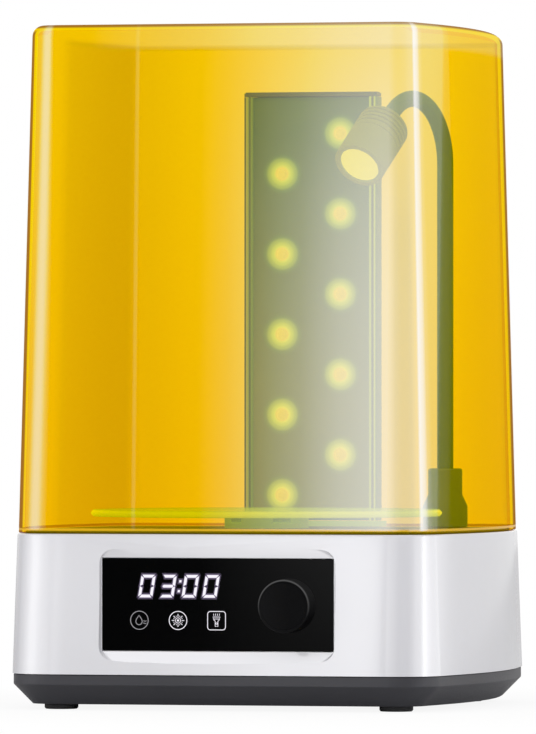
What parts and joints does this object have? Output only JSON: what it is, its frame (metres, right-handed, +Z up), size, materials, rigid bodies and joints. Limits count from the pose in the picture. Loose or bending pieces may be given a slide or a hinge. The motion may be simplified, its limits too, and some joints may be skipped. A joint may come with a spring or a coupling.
{
  "type": "resin wash station",
  "caption": "Bench-top wash and cure station: drafted white base with panel and knob, turntable, light tower, swan-neck lamp and clear amber lift-off hood.",
  "frame": {"origin": "middle of the footprint of the whole part, on the bench under the feet", "axes": "+Z up, -Y out of the front with the control panel, +X to the right of a person facing the front"},
  "size_m": [0.263, 0.2554, 0.377],
  "materials": {
    "gloss_white": "gloss",
    "dark_plastic": "satin",
    "black_rubber": "matte",
    "deck_grey": "satin",
    "panel_black": "gloss",
    "knob_black": "satin",
    "board_green": "satin",
    "board_dark": "satin",
    "black_plastic": "satin",
    "steel": "satin",
    "zinc": "satin",
    "tower_grey": "anodised",
    "led_lens": "gloss",
    "clear_acrylic": "gloss",
    "neck_grey": "satin",
    "lamp_grey": "anodised",
    "lamp_glass": "gloss",
    "amber_acrylic": "clear gloss"
  },
  "bodies": {
    "base": {"base_housing": "gloss_white", "bottom_shell": "dark_plastic", "deck_plate": "deck_grey", "rubber_foot_1": "black_rubber", "rubber_foot_2": "black_rubber", "rubber_foot_3": "black_rubber", "rubber_foot_4": "black_rubber", "casing_screw_1": "steel", "casing_screw_2": "steel", "casing_screw_3": "steel", "casing_screw_4": "steel", "control_panel": "panel_black", "display_module": "black_plastic", "control_board": "board_green", "encoder_body": "zinc", "supply_jack": "black_plastic", "switch_box": "black_plastic", "drive_motor": "zinc", "motor_bracket": "steel", "main_board": "board_green", "tower_channel": "tower_grey", "tower_foot": "dark_plastic", "tower_cap": "dark_plastic", "led_board": "board_dark", "uv_led_1": "led_lens", "uv_led_2": "led_lens", "uv_led_3": "led_lens", "uv_led_4": "led_lens", "uv_led_5": "led_lens", "uv_led_6": "led_lens", "uv_led_7": "led_lens", "uv_led_8": "led_lens", "uv_led_9": "led_lens", "uv_led_10": "led_lens", "neck_socket": "dark_plastic"},
    "hood": {"hood": "amber_acrylic"},
    "spindle": {"drive_shaft": "steel", "drive_hub": "dark_plastic"},
    "turntable": {"turntable": "clear_acrylic"},
    "encoder_rotor": {"encoder_rotor": "black_plastic"},
    "knob": {"control_knob": "knob_black", "encoder_shaft": "steel"},
    "rocker": {"power_rocker": "knob_black"},
    "neck_root": {"neck_root": "neck_grey"},
    "neck_lower": {"neck_lower": "neck_grey"},
    "neck_upper": {"neck_upper": "neck_grey"},
    "neck_arch": {"neck_arch": "neck_grey"},
    "neck_tip": {"neck_tip": "neck_grey"},
    "lamp": {"lamp_heat_sink": "lamp_grey", "lamp_barrel": "lamp_grey", "lamp_emitter": "led_lens", "lamp_lens": "lamp_glass"}
  },
  "joints": [
    {"name": "hood_lift", "type": "slide", "parent": "base", "child": "hood", "axis": [0, 0, 1], "range_m": [0, 0.26]},
    {"name": "turntable_spin", "type": "hinge", "parent": "base", "child": "spindle", "pos_m": [0, -0.00316, 0.098], "axis": [0, 0, 1], "continuous": true},
    {"name": "turntable_lift", "type": "slide", "parent": "spindle", "child": "turntable", "axis": [0, 0, 1], "range_m": [0, 0.12]},
    {"name": "knob_turn", "type": "hinge", "parent": "base", "child": "encoder_rotor", "pos_m": [0.0409, -0.11236, 0.058], "axis": [0, -1, 0], "continuous": true},
    {"name": "knob_press", "type": "slide", "parent": "encoder_rotor", "child": "knob", "axis": [0, 1, 0], "range_m": [0, 0.0012], "stiffness_N_per_m": 2500, "springref_m": -0.0004},
    {"name": "rocker_tilt", "type": "hinge", "parent": "base", "child": "rocker", "pos_m": [0.062, 0.12488, 0.042], "axis": [1, 0, 0], "range_deg": [-16, 0]},
    {"name": "neck_swing", "type": "hinge", "parent": "base", "child": "neck_root", "pos_m": [0.0793, 0.09584, 0.12], "axis": [0, 0, 1], "range_deg": [-45, 25]},
    {"name": "neck_lean", "type": "hinge", "parent": "neck_root", "child": "neck_lower", "pos_m": [0.0793, 0.09584, 0.14], "axis": [0.9563, -0.2924, 0], "range_deg": [-2, 8]},
    {"name": "neck_bend", "type": "hinge", "parent": "neck_lower", "child": "neck_upper", "pos_m": [0.0793, 0.09584, 0.222], "axis": [0.9563, -0.2924, 0], "range_deg": [-2, 10]},
    {"name": "arch_bend", "type": "hinge", "parent": "neck_upper", "child": "neck_arch", "pos_m": [0.0793, 0.09584, 0.304], "axis": [0.9563, -0.2924, 0], "range_deg": [-8, 12]},
    {"name": "tip_bend", "type": "hinge", "parent": "neck_arch", "child": "neck_tip", "pos_m": [0.06878, 0.06141, 0.34], "axis": [0.9563, -0.2924, 0], "range_deg": [-10, 15]},
    {"name": "lamp_tilt", "type": "hinge", "parent": "neck_tip", "child": "lamp", "pos_m": [0.0616, 0.03795, 0.33042], "axis": [0.9563, -0.2924, 0], "range_deg": [-20, 25]}
  ]
}
